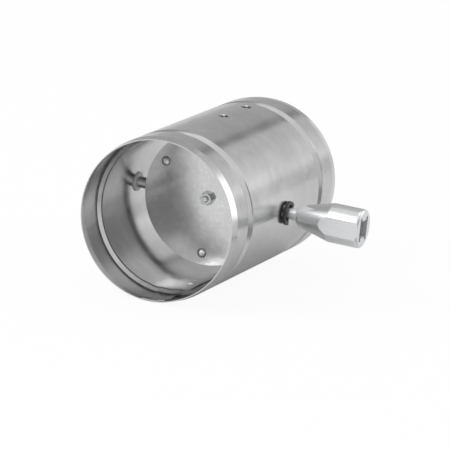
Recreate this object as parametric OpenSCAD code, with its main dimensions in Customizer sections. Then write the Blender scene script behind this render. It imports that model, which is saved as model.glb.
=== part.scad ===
// Round duct damper with a flat blade on a cross spindle and a hand grip.
// The spindle lies along X, the duct along Y, and Z is up. The origin is where
// the axis of the duct crosses the axis of the spindle, with the blade shut.

/* [Duct] */
// Outside diameter of the duct
duct_d = 100; // [90:1:125]
// Length of the duct from rim to rim
duct_len = 164; // [150:1:220]
// Thickness of the rolled sheet
sheet = 0.6; // [0.5:0.1:0.8]
// Length of the narrowed lip at each rim
lip_len = 6.5; // [3:0.5:10]
// How far the lip narrows, in radius
lip_in = 0.9; // [0.5:0.1:2.5]
// Distance from a rim to the middle of its bead
bead_from_rim = 26; // [20:1:30]
// Width of the bead, along the duct
bead_w = 8; // [5:0.5:10]
// Depth of the bead, pressed into the duct
bead_depth = 2.5; // [0.8:0.1:2.8]

/* [Lap seam] */
// Width of the lap, along the round
lap_w = 15; // [12:0.5:20]
// Width of the lap that stands off beside its free edge
lap_free_w = 4; // [2:0.5:5]
// Gap under the free edge of the lap
lap_lift = 0.35; // [0.2:0.05:0.5]
// Diameter of a spot weld's dimple
weld_d = 3.6; // [2:0.2:5]
// Distance between spot welds
weld_pitch = 28.4; // [20:0.2:32]

/* [Holes on top] */
// Diameter of the two holes on top
hole_d = 6; // [4:0.5:8]
// Distance between the two holes
hole_pitch = 35.5; // [25:0.5:40]
// Distance of the first hole from the spindle
hole_first = 5.5; // [0:0.5:10]
// Depth of the bent-in rim round a hole
dimple_depth = 0.4; // [0.2:0.1:0.6]
// Width of the bent-in rim round a hole
dimple_w = 0.7; // [0.4:0.1:1.2]
// How far a hole's drawn collar stands into the duct
collar_len = 2; // [1:0.1:3]

/* [Spindle and bushes] */
// Diameter of the spindle
shaft_d = 7; // [6:0.5:8]
// Wall of a bush's barrel
bush_wall = 1; // [0.8:0.1:1.5]
// Radial width of a bush's flange inside the duct
flange_w = 1.5; // [1:0.1:2]
// Thickness of a bush's flange
flange_t = 1; // [0.8:0.1:1.5]
// Outside diameter of a snap clip
clip_d = 14.8; // [14:0.2:18]
// Radial width of a snap clip's ring
clip_ring_w = 2; // [1.6:0.1:2.4]
// Thickness of a snap clip
clip_t = 1.7; // [1:0.1:2]
// Opening angle of a snap clip's mouth
clip_mouth = 115; // [100:5:120]
// Width of each lug of a snap clip, as an angle
clip_lug = 26; // [20:1:32]
// Turn of the handle clip's mouth from straight down towards the far rim
clip_turn = 60; // [0:5:90]
// Depth of a clip's groove in the spindle
groove_depth = 0.7; // [0.4:0.1:0.9]
// Thickness of a friction washer
friction_t = 0.4; // [0.3:0.1:0.6]
// Length of spindle left bare beyond the pivot clip
tail_len = 1; // [0.5:0.5:3]

/* [Blade] */
// Gap between the blade's edge and the duct
blade_gap = 7.4; // [4:0.2:9]
// Thickness of each blade disc
disc_t = 1; // [0.8:0.1:1.5]
// Distance of a rivet from the edge of the blade
rivet_inset = 7.2; // [6:0.2:12]
// Diameter of a rivet's shank
rivet_d = 3; // [2.4:0.2:4]
// Diameter of a rivet's head
rivet_head_d = 6.2; // [5:0.2:7]
// Height of a rivet's head
rivet_head_h = 1.9; // [1.2:0.1:2.2]
// Wall of a spacer tube
spacer_wall = 1.5; // [1:0.1:2]

/* [Blade bolt] */
// Diameter of the blade bolt
bolt_d = 4; // [3:0.5:4]
// Width of the nut and of the bolt's head across the flats
nut_af = 7; // [6.5:0.5:8]
// Thickness of the nut
nut_h = 3.2; // [2.4:0.1:4]
// Thickness of the bolt's head
bolt_head_h = 2.8; // [2:0.1:3.5]
// Length of bolt that stands out of the nut
bolt_out = 1.3; // [0.5:0.1:3]
// Diameter of a bolt washer
washer_d = 9; // [8.8:0.2:12]
// Thickness of a bolt washer
washer_t = 0.8; // [0.5:0.1:1.2]

/* [Handle] */
// Length of bare spindle between the clip and the handle
neck_gap = 5.3; // [3:0.1:12]
// Diameter of the hub at the handle's inner end
hub_d = 9.6; // [9:0.1:11]
// Length of the hub
hub_len = 1.6; // [0.8:0.1:3]
// Diameter of the handle where its taper starts
neck_d = 13.2; // [12:0.2:16]
// Diameter of the grip
grip_d = 24; // [22:0.5:30]
// Length of the taper
taper_len = 21.1; // [15:0.1:25]
// Length of the grip beyond the taper
grip_len = 20.2; // [18:0.1:30]
// Depth of the two flats on the grip
flat_depth = 1.35; // [0.8:0.05:1.8]
// Radius that rounds the grip's outer edge
end_round = 1.6; // [0.5:0.1:2]

/* [Pocket and screw] */
// Width of the pocket, from flat to flat
pocket_w = 11.6; // [10:0.2:12.6]
// Height of the pocket with its corner slots
pocket_h = 14.4; // [13.6:0.2:16]
// Depth of the pocket
pocket_depth = 9; // [7:0.5:12]
// Width of each boss that stands into the pocket
boss_w = 6; // [4:0.2:7]
// Height of each boss
boss_h = 1.9; // [1:0.1:2]
// Thickness of metal between the pocket and the spindle
handle_floor = 5.3; // [3:0.1:6]
// Diameter of the handle screw
screw_d = 4; // [3:0.5:4]
// Diameter of the screw's head
screw_head_d = 7.4; // [6.6:0.2:8]
// Height of the screw's head
screw_head_h = 2.6; // [2:0.1:3]
// Width of the hexagon socket in the screw's head
socket_af = 3; // [2:0.5:3.5]
// Length of screw inside the spindle
screw_grip = 10; // [6:0.5:14]
// Depth of the flat that keys the spindle in the handle
key_depth = 0.8; // [0.5:0.1:1.2]

/* [Hidden] */

// Clearances: a turning fit, a loose hole, a seat and the play at each clip.
turn_fit = 0.05;
loose_fit = 0.15;
seat_fit = 0.02;
end_play = 0.1;

fn_large = 96;
fn_small = 32;
over = 1;

duct_r = duct_d / 2;
bore_r = duct_r - sheet;
half_len = duct_len / 2;

shaft_r = shaft_d / 2;
groove_r = shaft_r - groove_depth;
clip_r = clip_d / 2;
barrel_r = shaft_r + turn_fit + bush_wall;
flange_r = barrel_r + flange_w;
flange_x = bore_r - flange_t;
friction_x = duct_r + end_play;
clip_x = friction_x + friction_t + end_play;
clip_end_x = clip_x + clip_t;

disc_r = bore_r - blade_gap;
rivet_circle_r = disc_r - rivet_inset;
stack = shaft_r + disc_t;
bolt_r = bolt_d / 2;
nut_y = -stack - washer_t;
bolt_end_y = nut_y - nut_h - bolt_out;
bolt_head_y = stack + washer_t;

hub_x = clip_end_x + neck_gap;
neck_x = hub_x + hub_len;
grip_x = neck_x + taper_len;
end_x = grip_x + grip_len;
pocket_x = end_x - pocket_depth;
bore_end_x = pocket_x - handle_floor;
flat_y = grip_d / 2 - flat_depth;
shaft_end_x = bore_end_x - loose_fit;
screw_head_x = pocket_x + washer_t;
screw_end_x = shaft_end_x - screw_grip;

// Radius of the duct's outer face at the distance s from the nearer rim.
function bead_dip(s) =
    abs(s - bead_from_rim) >= bead_w / 2 ? 0
    : bead_depth * (1 + cos(360 * (s - bead_from_rim) / bead_w)) / 2;
function lip_dip(s) = s >= lip_len ? 0 : lip_in * (1 - s / lip_len);
function wall_r(s) = duct_r - lip_dip(s) - bead_dip(s);

// Places along the duct, from one rim to the middle, where the face bends.
bead_steps = 8;
bends = concat([0, lip_len],
    [for (i = [0 : bead_steps])
        bead_from_rim - bead_w / 2 + bead_w * i / bead_steps]);
face = concat([for (s = bends) [wall_r(s), s - half_len]],
    [for (i = [len(bends) - 1 : -1 : 0]) [wall_r(bends[i]), half_len - bends[i]]]);

// Section of the sheet from rim to rim, between two depths under the outer face.
module sheet_section(top, bottom) {
    outer = [for (p = face) [p[0] - top, p[1]]];
    inner = [for (i = [len(face) - 1 : -1 : 0]) [face[i][0] - bottom, face[i][1]]];
    polygon(concat(outer, inner));
}

// A band of the sheet round the duct. Angles run from +X towards the bottom.
module sheet_band(from, sweep, top, bottom) {
    rotate([-90, 0, 0])
        rotate([0, 0, from])
            rotate_extrude(angle = sweep, $fn = fn_large)
                sheet_section(top, bottom);
}

// A round bar along X, between two places.
module bar_x(x0, x1, r, fn = fn_small) {
    translate([x0, 0, 0]) rotate([0, 90, 0]) cylinder(h = x1 - x0, r = r, $fn = fn);
}

// A round bar along Y, between two places.
module bar_y(y0, y1, r, fn = fn_small) {
    translate([0, y0, 0]) rotate([-90, 0, 0]) cylinder(h = y1 - y0, r = r, $fn = fn);
}

// A hexagon along Y with its corners to the sides and its outer edges turned off.
module hexagon_y(y0, y1, across, chamfer_end) {
    corner_r = across / sqrt(3);
    turned = across * 0.08;
    height = y1 - y0;
    intersection() {
        translate([0, y0, 0]) rotate([-90, 0, 0])
            linear_extrude(height) circle(r = corner_r, $fn = 6);
        translate([0, y0, 0]) rotate([-90, 0, 0]) rotate_extrude($fn = fn_small)
            polygon(chamfer_end > 0
                ? [[0, 0], [corner_r + turned, 0], [corner_r + turned, height - 2 * turned],
                    [across / 2, height], [0, height]]
                : [[0, 0], [across / 2, 0], [corner_r + turned, 2 * turned],
                    [corner_r + turned, height], [0, height]]);
    }
}

// Half of a round head: a cap of a ball that stands on y = 0 towards -Y.
module dome(base_d, height) {
    ball_r = (base_d * base_d / 4 + height * height) / (2 * height);
    intersection() {
        translate([0, ball_r - height, 0]) sphere(r = ball_r, $fn = fn_small);
        translate([-base_d, -height - over, -base_d])
            cube([2 * base_d, height + over, 2 * base_d]);
    }
}

// The lap starts a little past the lowest line and its free edge faces +X.
lap_offset = 3.5;
lap_angle = lap_w / bore_r * 180 / PI;
lap_free_angle = lap_free_w / bore_r * 180 / PI;
lap_end_angle = 90 + lap_offset / bore_r * 180 / PI;
lap_start_angle = lap_end_angle - lap_angle;
weld_angle = lap_end_angle - (lap_angle - lap_free_angle) * 0.8;
lap_overlap = 0.5;
weld_sink = 0.2;
weld_ball_r = (weld_d * weld_d / 4 + weld_sink * weld_sink) / (2 * weld_sink);

// A hole is drawn inwards, so a collar for a screw stands into the duct.
module top_hole_shell(y) {
    translate([0, y, bore_r - collar_len])
        cylinder(h = collar_len + sheet / 2, r = hole_d / 2 + sheet, $fn = fn_small);
}

module top_hole_cut(y) {
    slope = dimple_w / dimple_depth;
    bottom = bore_r - collar_len - over;
    mouth_r = hole_d / 2 + dimple_w + slope * over;
    translate([0, y, 0])
        rotate_extrude($fn = fn_small)
            polygon([[0, bottom], [hole_d / 2, bottom], [hole_d / 2, duct_r - dimple_depth],
                [mouth_r, duct_r + over], [0, duct_r + over]]);
}

module duct_body() {
    color("gainsboro") difference() {
        union() {
            sheet_band(0, 360, 0, sheet);
            sheet_band(lap_start_angle + lap_free_angle, lap_angle - lap_free_angle,
                sheet / 2, 2 * sheet);
            sheet_band(lap_start_angle, lap_free_angle + lap_overlap,
                sheet + lap_lift, 2 * sheet + lap_lift);
            for (i = [0, 1]) top_hole_shell(hole_first + i * hole_pitch);
        }
        for (i = [0, 1]) top_hole_cut(hole_first + i * hole_pitch);
        for (side = [0, 180])
            rotate([0, 0, side])
                bar_x(bore_r - 3 * sheet, duct_r + over, barrel_r + seat_fit);
        for (i = [-1 : 1])
            rotate([0, weld_angle, 0])
                translate([bore_r - sheet - weld_ball_r + weld_sink, i * weld_pitch, 0])
                    sphere(r = weld_ball_r, $fn = fn_small);
    }
}

// A bush along +X: a flange inside the duct and a barrel through the sheet.
module bush() {
    difference() {
        union() {
            intersection() {
                bar_x(flange_x, duct_r, flange_r);
                bar_y(-flange_r - over, flange_r + over, bore_r - seat_fit, 4 * fn_large);
            }
            bar_x(flange_x, duct_r, barrel_r);
        }
        bar_x(flange_x - over, duct_r + over, shaft_r + turn_fit);
    }
}

module handle_bush() {
    color("ivory") bush();
}

module pivot_bush() {
    color("ivory") rotate([0, 0, 180]) bush();
}

module friction_washer() {
    difference() {
        bar_x(friction_x, friction_x + friction_t, barrel_r);
        bar_x(friction_x - over, friction_x + friction_t + over, shaft_r + loose_fit);
    }
}

module handle_friction_washer() {
    color("silver") friction_washer();
}

module pivot_friction_washer() {
    color("silver") rotate([0, 0, 180]) friction_washer();
}

module clip_groove() {
    difference() {
        bar_x(clip_x - seat_fit, clip_x + clip_t + seat_fit, shaft_r + over);
        bar_x(clip_x - over, clip_x + clip_t + over, groove_r);
    }
}

// A wedge along X between two angles, counted from +Y towards +Z.
module wedge_x(from, to, reach) {
    middle = (from + to) / 2;
    translate([clip_x - over, 0, 0]) rotate([90, 0, 90])
        linear_extrude(clip_t + 2 * over)
            polygon([[0, 0], reach * [cos(from), sin(from)],
                2 * reach * [cos(middle), sin(middle)], reach * [cos(to), sin(to)]]);
}

// A snap clip: a ring with three lugs in the groove, and its mouth straight down.
module clip() {
    mouth_start = 270 - clip_mouth / 2;
    mouth_end = 270 + clip_mouth / 2;
    difference() {
        bar_x(clip_x, clip_end_x, clip_r, 48);
        bar_x(clip_x - over, clip_end_x + over, groove_r + seat_fit);
        wedge_x(mouth_start, mouth_end, 2 * clip_r);
        intersection() {
            bar_x(clip_x - over, clip_end_x + over, clip_r - clip_ring_w);
            union() {
                wedge_x(90 + clip_lug / 2, mouth_start - clip_lug, 2 * clip_r);
                wedge_x(mouth_end - 360 + clip_lug, 90 - clip_lug / 2, 2 * clip_r);
            }
        }
    }
}

module handle_clip() {
    color("dimgray") rotate([clip_turn, 0, 0]) clip();
}

module pivot_clip() {
    color("dimgray") rotate([0, 0, 180]) clip();
}

module spindle() {
    tail_x = clip_end_x + tail_len;
    chamfer = 0.5;
    color("lightgray") difference() {
        union() {
            bar_x(-tail_x + chamfer, shaft_end_x, shaft_r);
            translate([-tail_x, 0, 0]) rotate([0, 90, 0])
                cylinder(h = chamfer, r1 = shaft_r - chamfer, r2 = shaft_r,
                    $fn = fn_small);
        }
        clip_groove();
        rotate([0, 0, 180]) clip_groove();
        bar_y(-shaft_r - over, shaft_r + over, bolt_r + loose_fit);
        bar_x(screw_end_x - loose_fit, shaft_end_x + over, screw_d / 2 + seat_fit);
        translate([neck_x, -shaft_r - over, shaft_r - key_depth])
            cube([shaft_end_x - neck_x + over, shaft_d + 2 * over, key_depth + over]);
    }
}

// A rivet's place on the blade. The first one is the lowest.
module at_rivet(index) {
    rotate([0, 120 * index, 0]) translate([0, 0, -rivet_circle_r]) children();
}

module disc(y0) {
    difference() {
        bar_y(y0, y0 + disc_t, disc_r, fn_large);
        bar_y(y0 - over, y0 + disc_t + over, bolt_r + loose_fit);
        for (i = [0 : 2])
            at_rivet(i) bar_y(y0 - over, y0 + disc_t + over, rivet_d / 2 + seat_fit);
    }
}

module front_disc() {
    color("gainsboro") disc(-stack);
}

module rear_disc() {
    color("gainsboro") disc(shaft_r);
}

module spacer() {
    difference() {
        bar_y(-shaft_r, shaft_r, rivet_d / 2 + loose_fit + spacer_wall);
        bar_y(-shaft_r - over, shaft_r + over, rivet_d / 2 + loose_fit);
    }
}

module rivet() {
    bar_y(-stack - rivet_head_h / 4, stack + rivet_head_h / 4, rivet_d / 2);
    translate([0, -stack, 0]) dome(rivet_head_d, rivet_head_h);
    translate([0, stack, 0]) rotate([0, 0, 180]) dome(rivet_head_d, rivet_head_h);
}

module spacer_lower() {
    color("silver") at_rivet(0) spacer();
}

module spacer_left() {
    color("silver") at_rivet(1) spacer();
}

module spacer_right() {
    color("silver") at_rivet(2) spacer();
}

module rivet_lower() {
    color("whitesmoke") at_rivet(0) rivet();
}

module rivet_left() {
    color("whitesmoke") at_rivet(1) rivet();
}

module rivet_right() {
    color("whitesmoke") at_rivet(2) rivet();
}

module blade_bolt() {
    chamfer = 0.5;
    color("silver") union() {
        hexagon_y(bolt_head_y, bolt_head_y + bolt_head_h, nut_af, 1);
        bar_y(bolt_end_y + chamfer, bolt_head_y + bolt_head_h / 2, bolt_r);
        translate([0, bolt_end_y, 0]) rotate([-90, 0, 0])
            cylinder(h = chamfer, r1 = bolt_r - chamfer, r2 = bolt_r, $fn = fn_small);
    }
}

module bolt_washer(y0) {
    difference() {
        bar_y(y0, y0 + washer_t, washer_d / 2);
        bar_y(y0 - over, y0 + washer_t + over, bolt_r + loose_fit);
    }
}

module head_washer() {
    color("silver") bolt_washer(stack);
}

module nut_washer() {
    color("silver") bolt_washer(nut_y);
}

module blade_nut() {
    color("silver") difference() {
        hexagon_y(nut_y - nut_h, nut_y, nut_af, 0);
        bar_y(nut_y - nut_h - over, nut_y + over, bolt_r + seat_fit);
    }
}

// The handle's outline, from its inner end to its outer end.
round_steps = 5;
hub_edge = 0.3;
neck_edge = 0.5;
handle_outline = concat(
    [[hub_x, 0], [hub_x, hub_d / 2 - hub_edge], [hub_x + hub_edge, hub_d / 2],
        [neck_x, hub_d / 2], [neck_x, neck_d / 2 - neck_edge],
        [neck_x + neck_edge, neck_d / 2], [grip_x, grip_d / 2]],
    [for (i = [0 : round_steps])
        let (a = 90 * i / round_steps)
        [end_x - end_round + end_round * sin(a),
            grip_d / 2 - end_round + end_round * cos(a)]],
    [[end_x, 0]]);

// The pocket is a box with two bosses that stand in from its short walls.
module pocket() {
    translate([pocket_x, 0, 0]) difference() {
        translate([0, -pocket_w / 2, -pocket_h / 2])
            cube([pocket_depth + over, pocket_w, pocket_h]);
        for (side = [0, 180])
            rotate([side, 0, 0])
                translate([-over, -boss_w / 2, pocket_h / 2 - boss_h])
                    cube([pocket_depth + 3 * over, boss_w, boss_h + over]);
    }
}

module handle() {
    color("white") difference() {
        rotate([90, 0, 90]) rotate_extrude($fn = fn_large)
            polygon([for (p = handle_outline) [p[1], p[0]]]);
        for (side = [0, 180])
            rotate([side, 0, 0])
                translate([neck_x, flat_y, -grip_d])
                    cube([end_x - neck_x + over, grip_d, 2 * grip_d]);
        pocket();
        difference() {
            bar_x(hub_x - over, bore_end_x, shaft_r + seat_fit);
            translate([neck_x, -shaft_d, shaft_r - key_depth + seat_fit])
                cube([bore_end_x - neck_x + over, 2 * shaft_d, shaft_d]);
        }
        bar_x(bore_end_x - over, pocket_x + over, screw_d / 2 + loose_fit);
    }
}

module screw_washer() {
    color("silver") difference() {
        bar_x(pocket_x, pocket_x + washer_t, washer_d / 2);
        bar_x(pocket_x - over, pocket_x + washer_t + over, screw_d / 2 + loose_fit);
    }
}

module handle_screw() {
    socket_depth = screw_head_h * 0.6;
    edge = 0.4;
    color("silver") difference() {
        union() {
            bar_x(screw_end_x, screw_head_x + over / 2, screw_d / 2);
            bar_x(screw_head_x, screw_head_x + screw_head_h - edge, screw_head_d / 2);
            translate([screw_head_x + screw_head_h - edge, 0, 0]) rotate([0, 90, 0])
                cylinder(h = edge, r1 = screw_head_d / 2, r2 = screw_head_d / 2 - edge,
                    $fn = fn_small);
        }
        translate([screw_head_x + screw_head_h - socket_depth, 0, 0]) rotate([0, 90, 0])
            linear_extrude(socket_depth + over) circle(r = socket_af / sqrt(3), $fn = 6);
    }
}

duct_body();
handle_bush();
pivot_bush();
handle_friction_washer();
pivot_friction_washer();
spindle();
handle_clip();
pivot_clip();
front_disc();
rear_disc();
spacer_lower();
spacer_left();
spacer_right();
rivet_lower();
rivet_left();
rivet_right();
blade_bolt();
head_washer();
nut_washer();
blade_nut();
handle();
screw_washer();
handle_screw();
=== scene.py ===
# %% [markdown]
# # A sheet metal butterfly damper, dressed for the studio
# The real thing is a short piece of round ventilation duct in galvanised steel.
# A blade of two discs turns inside it on a steel spindle, and an aluminium
# handle on the right turns the blade.  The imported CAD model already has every
# solid at its right size and place, so this lesson only adds what CAD can't
# say: finishes, a screw thread, light, floor and camera.

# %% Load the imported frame
import math

import bmesh
import bpy
from mathutils import Matrix, Vector


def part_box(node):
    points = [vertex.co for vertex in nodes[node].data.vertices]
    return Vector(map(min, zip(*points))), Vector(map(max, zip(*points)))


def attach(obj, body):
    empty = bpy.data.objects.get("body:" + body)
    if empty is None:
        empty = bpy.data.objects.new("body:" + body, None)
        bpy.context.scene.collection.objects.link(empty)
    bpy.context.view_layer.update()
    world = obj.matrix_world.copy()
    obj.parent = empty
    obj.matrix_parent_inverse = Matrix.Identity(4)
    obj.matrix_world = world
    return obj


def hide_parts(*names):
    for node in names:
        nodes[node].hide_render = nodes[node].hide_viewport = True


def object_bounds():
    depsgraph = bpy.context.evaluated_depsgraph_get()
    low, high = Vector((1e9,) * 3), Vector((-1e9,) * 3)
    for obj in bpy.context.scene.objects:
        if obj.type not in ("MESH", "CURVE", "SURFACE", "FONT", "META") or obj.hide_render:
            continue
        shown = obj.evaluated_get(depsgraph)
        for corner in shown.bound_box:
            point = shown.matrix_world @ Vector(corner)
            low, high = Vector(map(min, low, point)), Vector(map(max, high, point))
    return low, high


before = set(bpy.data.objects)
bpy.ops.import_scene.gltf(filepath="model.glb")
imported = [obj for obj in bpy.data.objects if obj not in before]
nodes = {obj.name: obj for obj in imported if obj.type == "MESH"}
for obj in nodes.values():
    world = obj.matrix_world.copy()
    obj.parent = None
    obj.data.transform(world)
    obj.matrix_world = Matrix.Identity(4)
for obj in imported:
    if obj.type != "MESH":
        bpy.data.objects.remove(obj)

cad_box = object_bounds()

# %% [markdown]
# ## A few small helpers
# Every colour below is written as it would be picked from a screen, in sRGB
# hex.  Shaders work in linear light, so one function turns hex into linear.
# Another adds a shader node with its settings, fixed values and links, which
# keeps each material down to a list of what it is made of.  Two more bring a
# finished mesh or a new object into the scene.

# %% Helpers for colours, nodes and objects
MM = 0.001


def linear(hex_colour):
    """Turns an sRGB hex colour such as "#B8BBBD" into linear red, green, blue and alpha."""
    channels = []
    for start in (1, 3, 5):
        value = int(hex_colour[start:start + 2], 16) / 255
        if value <= 0.04045:
            channels.append(value / 12.92)
        else:
            channels.append(((value + 0.055) / 1.055) ** 2.4)
    return (*channels, 1.0)


def add_node(tree, kind, values=None, links=None, **settings):
    """Adds one node; values fill its sockets, links join them to another node's output."""
    new_node = tree.nodes.new(kind)
    for name, value in settings.items():
        setattr(new_node, name, value)
    for socket, value in (values or {}).items():
        new_node.inputs[socket].default_value = value
    for socket, (source, output) in (links or {}).items():
        tree.links.new(source.outputs[output], new_node.inputs[socket])
    return new_node


def new_material(name):
    """An empty node material and its tree."""
    material = bpy.data.materials.new(name)
    material.use_nodes = True
    material.node_tree.nodes.clear()
    return material, material.node_tree


def finished_mesh(name, build, material):
    """Turns mesh code that is done into a mesh with one material."""
    mesh = bpy.data.meshes.new(name)
    build.to_mesh(mesh)
    build.free()
    mesh.materials.append(material)
    return mesh


def add_object(name, data):
    """Puts a mesh, lamp or camera into the scene."""
    obj = bpy.data.objects.new(name, data)
    bpy.context.scene.collection.objects.link(obj)
    return obj


print("mid grey #BBBBBB in linear light:", round(linear("#BBBBBB")[0], 3))

# %% [markdown]
# ## The camera
# The photograph was matched by measuring rims, beads, holes and handle in it:
# a long lens from the right and a little above, leaning a few degrees.  The
# picture is square, so sensor width and lens give the view directly.  A
# camera could be aimed by hand instead, but angles from a fit stay true.
# The last line works out how much of the damper one pixel covers.  A grain
# much finer than that would be lost, so such grains are drawn coarser below.

# %% Place the camera
AZIMUTH = math.radians(21.704)
ELEVATION = math.radians(14.124)
ROLL = math.radians(6.613)
DISTANCE_MM = 2300.8
AIM_MM = Vector((11.26, 0.24, -15.67))
LENS_MM = 301.55
SENSOR_MM = 36.0
PICTURE_PIXELS = 450

toward_camera = Vector((
    math.sin(AZIMUTH) * math.cos(ELEVATION),
    -math.cos(AZIMUTH) * math.cos(ELEVATION),
    math.sin(ELEVATION),
))
camera_data = bpy.data.cameras.new("studio_camera")
camera_data.lens = LENS_MM
camera_data.sensor_width = SENSOR_MM
camera = add_object("studio_camera", camera_data)
camera.matrix_world = (
    Matrix.Translation(AIM_MM * MM + toward_camera * (DISTANCE_MM * MM))
    @ toward_camera.to_track_quat("Z", "Y").to_matrix().to_4x4()
    @ Matrix.Rotation(ROLL, 4, "Z")
)
bpy.context.scene.camera = camera
print("camera stands at", [round(c, 3) for c in camera.matrix_world.translation])
print("one pixel covers", round(DISTANCE_MM * SENSOR_MM / LENS_MM / PICTURE_PIXELS, 2), "mm")

# %% [markdown]
# ## The patterns of galvanised sheet
# Duct and blade are mild steel strip dipped in molten zinc and rolled once
# more, so the zinc crystals, called spangle, show only as faint patches.
# Over them lie slow stains, small pale scuffs, the fine grain of the rolls
# and a long waviness from bending the sheet round.  A picture of zinc could
# be wrapped round the duct, but patterns made from real millimetres stay
# sharp at any distance and run on from wall to bead without a seam.

# %% Patterns of the sheet
SPANGLE_MM = 7.0               # crystal patches of such strip, 5 to 10 mm
STAIN_MM = 34.0                # slow patches from passivation and handling
GRAIN_MM = 0.8                 # roll texture is 0.1 mm; drawn coarser so it shows
WAVE_MM = 32.0                 # waviness left by the bending rolls
SCUFF_MM = 2.2                 # pale scuffs on a handled sheet
NOISES = (
    # Name, size of its patches, how many finer layers it has and how strong they are.
    ("stain", STAIN_MM, 5.0, 0.55),
    ("grain", GRAIN_MM, 2.0, 0.5),
    ("wave", WAVE_MM, 1.0, 0.5),
    ("scuff", SCUFF_MM, 6.0, 0.7),
)


def sheet_patterns(tree):
    """The patterns by name, each laid out from the millimetres of the part itself."""
    place = add_node(tree, "ShaderNodeTexCoord")
    patterns = {}
    patterns["spangle"] = add_node(
        tree, "ShaderNodeTexVoronoi",
        {"Scale": 1 / (SPANGLE_MM * MM), "Randomness": 1.0},
        {"Vector": (place, "Object")},
    )
    for name, size_mm, layers, strength in NOISES:
        patterns[name] = add_node(
            tree, "ShaderNodeTexNoise",
            {"Scale": 1 / (size_mm * MM), "Detail": layers, "Roughness": strength},
            {"Vector": (place, "Object")},
        )
    return patterns


duct_width_mm = (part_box("duct_body")[1][2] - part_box("duct_body")[0][2]) / MM
print("spangle patches across the duct:", round(duct_width_mm / SPANGLE_MM))

# %% [markdown]
# ## Galvanised sheet
# To the eye this is a soft grey mirror: the studio shows in the round wall as
# long streaks with milky edges.  Spangle, stain and scuffs each make the grey
# a little darker or paler, and are multiplied together.  Spangle and stain
# shift the gloss as well, because each zinc crystal has its own polish.  The
# waves and the grain only bend the light, through two bumps of real height.
# Duct and blade share the recipe; the blade gets more scuffs and a paler grey, which paints in
# its bright reflection.

# %% Make the galvanised sheet
DUCT_GREY = "#C4C4C4"          # zinc, painted a shade darker so the duct's highlights come out dimmer
BLADE_GREY = "#D0D0D0"         # the same zinc painted paler, for the bright reflection the blade shows
SPANGLE_TONES = (0.965, 1.035)  # darkest and palest crystal, as shares of the grey
STAIN_TONES = (0.90, 1.06)     # darkest and palest stain, likewise
STAIN_NOISE = (0.3, 0.7)       # the noise values that give those two
SCUFF_NOISE = (0.52, 0.72)     # the noise value where a scuff starts, and where it is palest
GLOSS_SPREAD = 0.012           # how much roughness changes from crystal to crystal
WAVE_HEIGHT_MM = 0.06
GRAIN_HEIGHT_MM = 0.0025


def galvanised_sheet(name, grey, roughness, scuffs):
    """Galvanised steel; scuffs is how much paler than the grey its scuffs get."""
    material, tree = new_material(name)
    patterns = sheet_patterns(tree)
    crystal = add_node(tree, "ShaderNodeSeparateColor", links={0: (patterns["spangle"], "Color")})
    crystal_tone = add_node(
        tree, "ShaderNodeMapRange",
        {"To Min": SPANGLE_TONES[0], "To Max": SPANGLE_TONES[1]},
        {"Value": (crystal, 0)},
    )
    stain_tone = add_node(
        tree, "ShaderNodeMapRange",
        {
            "From Min": STAIN_NOISE[0],
            "From Max": STAIN_NOISE[1],
            "To Min": STAIN_TONES[0],
            "To Max": STAIN_TONES[1],
        },
        {"Value": (patterns["stain"], 0)},
    )
    scuff_tone = add_node(
        tree, "ShaderNodeMapRange",
        {
            "From Min": SCUFF_NOISE[0],
            "From Max": SCUFF_NOISE[1],
            "To Min": 1.0,
            "To Max": 1.0 + scuffs,
        },
        {"Value": (patterns["scuff"], 0)},
    )
    tone = crystal_tone
    for other_tone in (stain_tone, scuff_tone):
        tone = add_node(
            tree, "ShaderNodeMath",
            links={0: (tone, 0), 1: (other_tone, 0)},
            operation="MULTIPLY",
        )
    tint = add_node(
        tree, "ShaderNodeVectorMath",
        {0: linear(grey)[:3]},
        {"Scale": (tone, 0)},
        operation="SCALE",
    )
    gloss = add_node(
        tree, "ShaderNodeMapRange",
        {"To Min": roughness - GLOSS_SPREAD, "To Max": roughness + GLOSS_SPREAD},
        {"Value": (crystal, 1)},
    )
    stained_gloss = add_node(
        tree, "ShaderNodeMath",
        links={0: (gloss, 0), 1: (stain_tone, 0)},
        operation="MULTIPLY",
    )
    bent = add_node(
        tree, "ShaderNodeBump",
        {"Strength": 1.0, "Distance": WAVE_HEIGHT_MM * MM},
        {"Height": (patterns["wave"], 0)},
    )
    rolled = add_node(
        tree, "ShaderNodeBump",
        {"Strength": 1.0, "Distance": GRAIN_HEIGHT_MM * MM},
        {"Height": (patterns["grain"], 0), "Normal": (bent, 0)},
    )
    zinc = add_node(
        tree, "ShaderNodeBsdfPrincipled",
        {"Metallic": 1.0},
        {"Base Color": (tint, 0), "Roughness": (stained_gloss, 0), "Normal": (rolled, 0)},
    )
    add_node(tree, "ShaderNodeOutputMaterial", links={"Surface": (zinc, 0)})
    return material


# Duct sheet: a calm grey mirror that carries the long streaks of the studio, painted a shade
# darker so they come out dimmer.
duct_zinc = galvanised_sheet("galvanised_duct_sheet", DUCT_GREY, roughness=0.22, scuffs=0.03)
# Blade sheet: painted paler than the duct for its bright reflection, and lightly scuffed, so the
# discs read apart from the wall.
blade_zinc = galvanised_sheet("galvanised_blade_sheet", BLADE_GREY, roughness=0.20, scuffs=0.20)
print("sheets:", duct_zinc.name, blade_zinc.name)

# %% [markdown]
# ## One recipe for the small parts
# Fasteners, bar, clips and bushes differ in colour, gloss and the grain that
# their making leaves, but each is one even material.  So one recipe serves
# them all: a noise of the grain's real size shifts colour, gloss and height
# together.  A long thin grain comes from reading the noise at places that are
# squeezed along one axis.

# %% The recipe for an even finish
# A Mix node's inputs are found by number, because several of them share a name.
MIX_SHARE = 0
VALUE_A, VALUE_B = 2, 3
COLOUR_A, COLOUR_B = 6, 7
MIXED_COLOUR = 2               # its output for colours
GRAIN_LAYERS = 3.0


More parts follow.
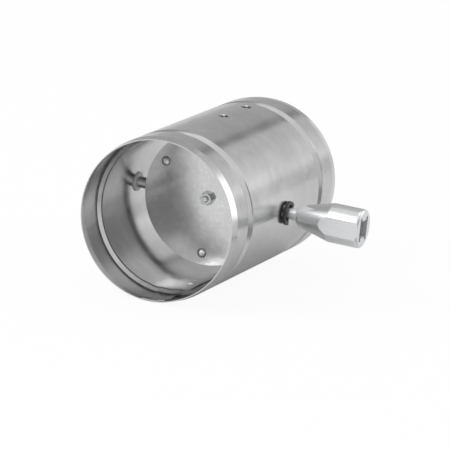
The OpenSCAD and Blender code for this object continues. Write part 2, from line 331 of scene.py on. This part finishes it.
def even_finish(name, grain_mm, colours, gloss, height_mm, squeeze=(1, 1, 1), metallic=1.0):
    """A material whose grain shifts it between two colours and two roughnesses."""
    material, tree = new_material(name)
    place = add_node(tree, "ShaderNodeTexCoord")
    squeezed = add_node(
        tree, "ShaderNodeMapping",
        {"Scale": squeeze},
        {"Vector": (place, "Object")},
    )
    grain = add_node(
        tree, "ShaderNodeTexNoise",
        {"Scale": 1 / (grain_mm * MM), "Detail": GRAIN_LAYERS},
        {"Vector": (squeezed, 0)},
    )
    tone = add_node(
        tree, "ShaderNodeMix",
        {COLOUR_A: linear(colours[0]), COLOUR_B: linear(colours[1])},
        {MIX_SHARE: (grain, 0)},
        data_type="RGBA",
    )
    roughness = add_node(
        tree, "ShaderNodeMapRange",
        {"To Min": gloss[0], "To Max": gloss[1]},
        {"Value": (grain, 0)},
    )
    height = add_node(
        tree, "ShaderNodeBump",
        {"Strength": 1.0, "Distance": height_mm * MM},
        {"Height": (grain, 0)},
    )
    surface = add_node(
        tree, "ShaderNodeBsdfPrincipled",
        {"Metallic": metallic},
        {
            "Base Color": (tone, MIXED_COLOUR),
            "Roughness": (roughness, 0),
            "Normal": (height, 0),
        },
    )
    add_node(tree, "ShaderNodeOutputMaterial", links={"Surface": (surface, 0)})
    return material


print("materials so far:", len(bpy.data.materials))

# %% [markdown]
# ## Steel, zinc plate and rivets
# Bolt, nut, washers, spacers and screw are steel with a thin bright zinc
# plating, dinged a little in the plating barrel.  The spindle is cold drawn
# bar, with hair-fine lines along it.  The thin friction washers are hard
# strip.  The rivets are soft aluminium wire with domes from a heading punch:
# whiter than zinc, and satin.

# %% Make the small metal finishes
TUMBLE_MM = 1.1                # dings from the plating barrel
DRAW_LINE_MM = 0.4             # drawing lines are 0.15 mm wide; drawn coarser
DRAW_SQUEEZE = (0.02, 1, 1)    # and fifty times as long, along the spindle
OIL_MM = 1.6                   # patches of oil on hard strip
PUNCH_MM = 0.9                 # soft marks from the heading punch

# Bright zinc plate: gives the fasteners a crisp, slightly broken shine.
plated = even_finish(
    "bright_zinc_plating", TUMBLE_MM, ("#B4B6B7", "#D6D8D8"),
    gloss=(0.22, 0.38), height_mm=0.02)
# Drawn bar: one long highlight, broken into fine streaks along the spindle.
bar_steel = even_finish(
    "bright_drawn_steel", DRAW_LINE_MM, ("#D2D2D2", "#E6E6E6"),
    gloss=(0.36, 0.48), height_mm=0.006, squeeze=DRAW_SQUEEZE)
# Oiled strip: a slightly darker, duller grey than the plated parts.
strip_steel = even_finish(
    "oiled_spring_strip", OIL_MM, ("#A09F9D", "#BEBDBA"),
    gloss=(0.26, 0.42), height_mm=0.004)
# Rivet aluminium: pale satin domes that stand out from the grey blade.
rivet_metal = even_finish(
    "headed_rivet_aluminium", PUNCH_MM, ("#D9DADB", "#EFEFF0"),
    gloss=(0.38, 0.48), height_mm=0.015)
print("small metals:", [m.name for m in (plated, bar_steel, strip_steel, rivet_metal)])

# %% [markdown]
# ## Two polyamides
# The snap clips are injection moulded from black polyamide: nearly black and
# half matt, with the fine spark texture of the mould.  The bushes are the same
# plastic without pigment, an ivory white that lets the spindle's end sit in the
# duct wall without a dark ring.  Both keep the plastic's usual index of 1.5,
# which is also where Blender's shader starts.

# %% Make the plastics
SPARK_MM = 0.5                 # mould texture, 0.1 mm in fact; drawn coarser
FLOW_MM = 3.0                  # faint flow marks in the unpigmented plastic

# Black polyamide: a dark, half-matt ring against the pale metal.
black_plastic = even_finish(
    "moulded_black_polyamide", SPARK_MM, ("#1A1B1C", "#2B2C2D"),
    gloss=(0.36, 0.50), height_mm=0.01, metallic=0.0)
# Natural polyamide: waxy ivory with a soft gloss.
ivory_plastic = even_finish(
    "moulded_natural_polyamide", FLOW_MM, ("#E6E6E3", "#F0F0EE"),
    gloss=(0.34, 0.44), height_mm=0.004, metallic=0.0)
print("plastics:", black_plastic.name, ivory_plastic.name)

# %% [markdown]
# ## Where the handle is belted, turned or left as cast
# The handle is an aluminium casting, turned and polished all over, with its
# two flats linished on a belt.  The pocket in its end keeps the dull skin of
# the casting.  Three materials could share it out face by face, but the CAD
# solid has one slot, so two masks worked out from millimetres say which
# finish a point has.

# %% Mask the flats and the pocket
FLAT_Y_MM = 10.55              # beyond this, across the handle, lie the flats
POCKET_HALF_Y_MM = 5.9         # just outside the walls of the pocket in the end
POCKET_HALF_Z_MM = 7.3
SKIN_MM = 0.05                 # the pocket's mask stops this far under the end face
end_face_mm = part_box("handle")[1][0] / MM

handle_metal, tree = new_material("polished_cast_aluminium")
place = add_node(tree, "ShaderNodeTexCoord")
axes = add_node(tree, "ShaderNodeSeparateXYZ", links={0: (place, "Object")})
across = add_node(tree, "ShaderNodeMath", links={0: (axes, "Y")}, operation="ABSOLUTE")
upright = add_node(tree, "ShaderNodeMath", links={0: (axes, "Z")}, operation="ABSOLUTE")
on_flat = add_node(
    tree, "ShaderNodeMath",
    {1: FLAT_Y_MM * MM},
    {0: (across, 0)},
    operation="GREATER_THAN",
)
# The pocket's mask is 1 only inside a box, closed just under the end face.
in_pocket = None
for source, output, limit_mm in (
    (across, 0, POCKET_HALF_Y_MM),
    (upright, 0, POCKET_HALF_Z_MM),
    (axes, "X", end_face_mm - SKIN_MM),
):
    below = add_node(
        tree, "ShaderNodeMath",
        {1: limit_mm * MM},
        {0: (source, output)},
        operation="LESS_THAN",
    )
    if in_pocket is None:
        in_pocket = below
    else:
        in_pocket = add_node(
            tree, "ShaderNodeMath",
            links={0: (in_pocket, 0), 1: (below, 0)},
            operation="MULTIPLY",
        )
slot_count = len(nodes["handle"].material_slots)
print("the handle ends at", round(end_face_mm, 1), "mm; its slots:", slot_count)

# %% [markdown]
# ## Polished aluminium
# Polish mirrors the studio in long streaks; the flats are satin and read as
# one even pale plane.  Turning leaves fine rings round the handle, and the
# belt leaves fine scratches along it, so the same noise is drawn out round
# the handle for the one and along it for the other.

# %% Make the handle aluminium
ALUMINIUM_GREYS = ("#D2D3D4", "#E4E5E6")
TURN_LINE_MM = 0.5             # turning marks are 0.1 mm apart; drawn coarser
TURN_SQUEEZE = (1.0, 0.04, 0.04)
BELT_LINE_MM = 0.45            # belt scratches, likewise
BELT_SQUEEZE = (0.03, 1.0, 1.0)
LINE_LAYERS = 2.0
LINE_HEIGHT_MM = 0.003
POLISH_ROUGHNESS = 0.23
BELT_ROUGHNESS = 0.33
LINE_ROUGHNESS = 0.05          # the marks add up to this much
CAST_ROUGHNESS = 0.7           # the dull skin inside the pocket

lines = []
for line_mm, squeeze in ((TURN_LINE_MM, TURN_SQUEEZE), (BELT_LINE_MM, BELT_SQUEEZE)):
    stretched = add_node(
        tree, "ShaderNodeMapping",
        {"Scale": squeeze},
        {"Vector": (place, "Object")},
    )
    lines.append(add_node(
        tree, "ShaderNodeTexNoise",
        {"Scale": 1 / (line_mm * MM), "Detail": LINE_LAYERS},
        {"Vector": (stretched, 0)},
    ))
marks = add_node(
    tree, "ShaderNodeMix",
    links={MIX_SHARE: (on_flat, 0), VALUE_A: (lines[0], 0), VALUE_B: (lines[1], 0)},
)
smooth = add_node(
    tree, "ShaderNodeMapRange",
    {"To Min": POLISH_ROUGHNESS, "To Max": BELT_ROUGHNESS},
    {"Value": (on_flat, 0)},
)
marked = add_node(
    tree, "ShaderNodeMath",
    {1: LINE_ROUGHNESS},
    {0: (marks, 0), 2: (smooth, 0)},
    operation="MULTIPLY_ADD",
)
roughness = add_node(
    tree, "ShaderNodeMix",
    {VALUE_B: CAST_ROUGHNESS},
    {MIX_SHARE: (in_pocket, 0), VALUE_A: (marked, 0)},
)
height = add_node(
    tree, "ShaderNodeBump",
    {"Strength": 1.0, "Distance": LINE_HEIGHT_MM * MM},
    {"Height": (marks, 0)},
)
tone = add_node(
    tree, "ShaderNodeMix",
    {COLOUR_A: linear(ALUMINIUM_GREYS[0]), COLOUR_B: linear(ALUMINIUM_GREYS[1])},
    {MIX_SHARE: (marks, 0)},
    data_type="RGBA",
)
# Cast aluminium: a white metal, shiny on its round sides and satin on its flats.
aluminium = add_node(
    tree, "ShaderNodeBsdfPrincipled",
    {"Metallic": 1.0},
    {"Base Color": (tone, MIXED_COLOUR), "Roughness": (roughness, 0), "Normal": (height, 0)},
)
add_node(tree, "ShaderNodeOutputMaterial", links={"Surface": (aluminium, 0)})
print("handle gets", handle_metal.name, "with", len(tree.nodes), "nodes")

# %% [markdown]
# ## Dress the CAD solids
# Each solid keeps its exact shape and only its material slot changes.  The
# list goes from finish to node names, so a part that was forgotten shows up
# in the printed count.

# %% Give every node its finish
finishes = {
    duct_zinc: ["duct_body"],
    blade_zinc: ["front_disc", "rear_disc"],
    plated: [
        "blade_bolt", "head_washer", "nut_washer", "blade_nut", "screw_washer",
        "handle_screw", "spacer_lower", "spacer_left", "spacer_right",
    ],
    bar_steel: ["spindle"],
    strip_steel: ["handle_friction_washer", "pivot_friction_washer"],
    rivet_metal: ["rivet_lower", "rivet_left", "rivet_right"],
    handle_metal: ["handle"],
    black_plastic: ["handle_clip", "pivot_clip"],
    ivory_plastic: ["handle_bush", "pivot_bush"],
}
dressed = set()
for material, names in finishes.items():
    for name in names:
        for slot in nodes[name].material_slots:
            slot.material = material
        dressed.add(name)
print("dressed", len(dressed), "of", len(nodes), "left:", sorted(set(nodes) - dressed))

# %% [markdown]
# ## The shape of the bolt's thread
# The bolt through blade and spindle is an M4 screw, threaded up to its head,
# and its last turns stand out of the nut.  The CAD keeps it as a plain bar,
# because a thread does no work there.  Blender's screw modifier could wind a
# tooth up the axis, but its ends need trimming by hand.  Here each height has
# a ring of points instead, whose distance from the axis rises and falls with
# height and angle, which is all that a helix is.

# %% Work out the thread
PITCH_MM = 0.7                 # coarse pitch of an M4 thread
THREAD_DEPTH_MM = 0.43         # from crest to root
CREST_MM = 2.0                 # half of the 4 mm over the crests
POINT_TAPER_MM = 0.5           # the first turns are cut down to a blunt point
tip_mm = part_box("blade_bolt")[0][1] / MM
head_foot_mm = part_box("head_washer")[1][1] / MM
head_top_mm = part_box("blade_bolt")[1][1] / MM
across_flats_mm = (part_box("blade_nut")[1][2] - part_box("blade_nut")[0][2]) / MM


def thread_radius(y_mm, angle):
    """Distance from the bolt's axis, for a triangular thread with a blunt point."""
    turns = (y_mm - tip_mm) / PITCH_MM - angle / (2 * math.pi)
    tooth = abs(2 * (turns - math.floor(turns)) - 1)
    radius = CREST_MM - THREAD_DEPTH_MM * tooth
    return min(radius, CREST_MM - POINT_TAPER_MM + (y_mm - tip_mm))


def hexagon_radius(angle):
    """Distance to the side of the bolt's head, with flats above and below, as on the nut."""
    side = (angle % (math.pi / 3)) - math.pi / 6
    return across_flats_mm / 2 / math.cos(side)


thread_turns = (head_foot_mm - tip_mm) / PITCH_MM
print("turns of thread:", round(thread_turns, 1), "head across flats:", round(across_flats_mm, 2))

# %% [markdown]
# ## Build the bolt
# The rings are stacked from the tip to the top of the head and joined with
# four-sided faces, and a face closes each end.  The head's last ring is drawn
# in a little, as a cold-headed hexagon has a small bevel round its top.

# %% Build the threaded bolt
RING_POINTS = 48
STEPS_PER_TURN = 12
BEVEL_MM = 0.3                 # height of the bevel
BEVEL_SHRINK = 0.93            # width of the head's top, as a share of the head

angles = [2 * math.pi * i / RING_POINTS for i in range(RING_POINTS)]
step_count = math.ceil(thread_turns * STEPS_PER_TURN)
outlines = []                  # height of each ring and its distances from the axis
for step in range(step_count + 1):
    height_mm = tip_mm + (head_foot_mm - tip_mm) * step / step_count
    outlines.append((height_mm, [thread_radius(height_mm, angle) for angle in angles]))
for height_mm, share in (
    (head_foot_mm, 1.0),
    (head_top_mm - BEVEL_MM, 1.0),
    (head_top_mm, BEVEL_SHRINK),
):
    outlines.append((height_mm, [share * hexagon_radius(angle) for angle in angles]))

build = bmesh.new()
rings = []
for height_mm, radii in outlines:
    ring = []
    for angle, radius in zip(angles, radii):
        spot = (radius * math.cos(angle) * MM, height_mm * MM, radius * math.sin(angle) * MM)
        ring.append(build.verts.new(spot))
    rings.append(ring)
for lower, upper in zip(rings, rings[1:]):
    for i in range(RING_POINTS):
        j = (i + 1) % RING_POINTS
        build.faces.new((lower[i], lower[j], upper[j], upper[i]))
build.faces.new(rings[0])
build.faces.new(list(reversed(rings[-1])))
bmesh.ops.recalc_face_normals(build, faces=build.faces)
bolt = add_object("threaded_blade_bolt", finished_mesh("threaded_blade_bolt", build, plated))
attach(bolt, "blade")
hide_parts("blade_bolt")
print("bolt faces:", len(bolt.data.polygons))

# %% [markdown]
# ## The floor
# A plain pale floor carries the damper along the duct's lowest line.  The
# camera sees it almost as pure white, as white studio paper looks when it is
# well lit, and the small rest is real paper, which keeps the soft shadow.

# %% Lay the floor
FLOOR_WIDTH = 12.0             # metres, far past the edges of the picture
FLOOR_CELLS = 24
FLOOR_GAP_MM = 0.1             # keeps the floor just clear of the duct
PAPER_WHITE = "#F6F6F6"
WHITE_SHARE = 0.94             # how much of the floor the camera sees as pure white
lowest = cad_box[0][2]

paper, tree = new_material("white_studio_paper")
ray = add_node(tree, "ShaderNodeLightPath")
share = add_node(
    tree, "ShaderNodeMath",
    {1: WHITE_SHARE},
    {0: (ray, "Is Camera Ray")},
    operation="MULTIPLY",
)
matt = add_node(tree, "ShaderNodeBsdfDiffuse", {"Color": linear(PAPER_WHITE)})
white = add_node(tree, "ShaderNodeEmission", {"Color": (1, 1, 1, 1), "Strength": 1.0})
both = add_node(tree, "ShaderNodeMixShader", links={0: (share, 0), 1: (matt, 0), 2: (white, 0)})
add_node(tree, "ShaderNodeOutputMaterial", links={"Surface": (both, 0)})

build = bmesh.new()
bmesh.ops.create_grid(build, x_segments=FLOOR_CELLS, y_segments=FLOOR_CELLS, size=FLOOR_WIDTH / 2)
bmesh.ops.translate(build, verts=build.verts, vec=(0, 0, lowest - FLOOR_GAP_MM * MM))
floor = add_object("studio_floor", finished_mesh("studio_floor", build, paper))
print("floor lies at z", round(lowest / MM - FLOOR_GAP_MM, 2), "mm")

# %% [markdown]
# ## The world
# Camera and metal see a white room.  For diffuse light the room is a little
# dimmer than white, so that with the lamps added a colour renders about as
# it is written.

# %% Set the world
WORLD_DIFFUSE = 0.72           # the room's level for diffuse light, where 1 is white

world = bpy.data.worlds.new("white_studio")
world.use_nodes = True
world.node_tree.nodes.clear()
tree = world.node_tree
ray = add_node(tree, "ShaderNodeLightPath")
seen = add_node(
    tree, "ShaderNodeMath",
    links={0: (ray, "Is Camera Ray"), 1: (ray, "Is Glossy Ray")},
    operation="MAXIMUM",
)
level = add_node(
    tree, "ShaderNodeMapRange",
    {"To Min": WORLD_DIFFUSE, "To Max": 1.0},
    {"Value": (seen, 0)},
)
room = add_node(tree, "ShaderNodeBackground", {"Color": (1, 1, 1, 1)}, {"Strength": (level, 0)})
add_node(tree, "ShaderNodeOutputWorld", links={"Surface": (room, 0)})
bpy.context.scene.world = world
print("world level for diffuse light:", WORLD_DIFFUSE)

# %% [markdown]
# ## Soft lamps
# Metal shows what stands round it, so where a lamp stands matters more than
# its strength.  Each lamp is a softbox that faces the damper.  Its power is
# worked out from how bright its cloth should look beside white paper, so a
# lamp can be made larger or smaller and its reflection keeps its tone.

# %% Hang the softboxes
def face_damper(obj, spot):
    """Puts a lamp or card at a spot, in metres, turned to face the damper's middle."""
    away = Vector(spot).normalized()
    turn = away.to_track_quat("Z", "Y").to_matrix().to_4x4()
    obj.matrix_world = Matrix.Translation(spot) @ turn


def softbox(name, spot, size, brightness):
    """A soft lamp of a width and height in metres; brightness 1 looks like white paper."""
    width, height = size
    lamp = bpy.data.lights.new(name, "AREA")
    lamp.shape = "RECTANGLE"
    lamp.size = width
    lamp.size_y = height
    lamp.energy = brightness * math.pi * width * height
    face_damper(add_object(name, lamp), spot)


# Front left: lights the inside of the duct, the foot of the blade and the handle's ridge.
softbox("key_softbox", (-1.3, -1.9, 1.5), (1.6, 1.6), 3.6)
# Behind on the right: the bright near lip, and a glow along the wall.
softbox("edge_softbox", (1.30, 1.36, 0.58), (0.8, 1.3), 1.12)
# Overhead: the rims of the two holes, and the line along the handle's top.
softbox("top_softbox", (-0.20, 0.40, 2.10), (0.5, 0.9), 1.6)
# Overhead in front: the front of that line, and glints on the rivets.
softbox("front_top_softbox", (-0.80, -0.75, 1.90), (0.6, 0.6), 1.1)

# %% [markdown]
# ## Grey cards
# In a white room polished metal would look like white paper.  So cards stand
# round the damper, as a photographer would set them up, and each gives one
# stretch of the metal its tone.  Darker metal could do part of this, but
# then it would look wrong under any other light.  Only reflections see the
# cards, so they cast no shadow and dim no diffuse light.

# %% Set up the cards
CARD_LIFT_MM = 1.0             # a card on the floor lies this far over the lowest point
CARD_CELLS = 6
HALF_METRE = 0.5               # half the width of a card before it is scaled to size


def grey_card(name, spot, size, colour):
    """A card of a width and height in metres that only the metal sees."""
    paint, tree = new_material(name + "_paint")
    tone = add_node(tree, "ShaderNodeEmission", {"Color": linear(colour), "Strength": 1.0})
    add_node(tree, "ShaderNodeOutputMaterial", links={"Surface": (tone, 0)})
    build = bmesh.new()
    bmesh.ops.create_grid(build, x_segments=CARD_CELLS, y_segments=CARD_CELLS, size=HALF_METRE)
    bmesh.ops.scale(build, verts=build.verts, vec=(*size, 1))
    card = add_object(name, finished_mesh(name, build, paint))
    face_damper(card, spot)
    card.visible_camera = False
    card.visible_diffuse = False
    card.visible_shadow = False
    return card


def floor_card(name, x_range, y_range, colour):
    """A card laid flat just over the floor, between two places along X and two along Y."""
    spot = (sum(x_range) / 2, sum(y_range) / 2, lowest + CARD_LIFT_MM * MM)
    size = (x_range[1] - x_range[0], y_range[1] - y_range[0])
    card = grey_card(name, spot, size, colour)
    card.matrix_world = Matrix.Translation(spot)


# The duct's left side, which only other views see.
grey_card("left_card", (-2.0, 0.30, 0.95), (1.7, 1.6), "#B0B0B0")
# The duct's wall from its top down to the handle; the wall inside shows them again.
grey_card("back_left_card", (-1.0, 2.0, 1.1), (2.1, 2.2), "#BFBFBF")
grey_card("back_middle_card", (0.30, 2.0, 1.15), (0.5, 1.6), "#DDDDDD")
grey_card("back_right_card", (0.75, 1.95, 1.15), (0.4, 1.3), "#EFEFEF")
grey_card("back_low_card", (0.95, 1.95, 0.12), (1.0, 0.36), "#CFCFCF")
# The dark streak along the wall's shoulder.
grey_card("streak_card", (-0.08, 1.8, 0.9), (0.2, 0.8), "#8C8C8C")
# Both beads where they cross the top of the duct, and the handle's top edge.
grey_card("ceiling_card", (-1.3, 0.55, 1.65), (1.8, 1.8), "#B0B0B0")
# The left side of the duct's inside and the left half of the blade.
grey_card("front_right_card", (1.05, -2.0, 0.45), (1.3, 1.4), "#A8A8A8")
# The dark flank of each bead.
grey_card("right_card", (1.95, 0.30, 0.5), (1.45, 1.25), "#808080")
# Foot of those dark flanks, beside the handle.
floor_card("right_floor_card", (0.14, 0.70), (-0.14, 0.09), "#A0A0A0")
# White: keeps the handle's flat, the blade and the duct's inside pale.
floor_card("bounce_card", (-0.22, 0.06), (-0.40, -0.09), "#FFFFFF")
# The darkest band inside on the left, which the blade shows again.
floor_card("flag_card", (0.08, 0.28), (-0.50, -0.235), "#606060")

# %% [markdown]
# ## Set the colours of the picture
# The plain Standard view shows each colour as it is written.

# %% Finish
bpy.context.scene.view_settings.view_transform = "Standard"
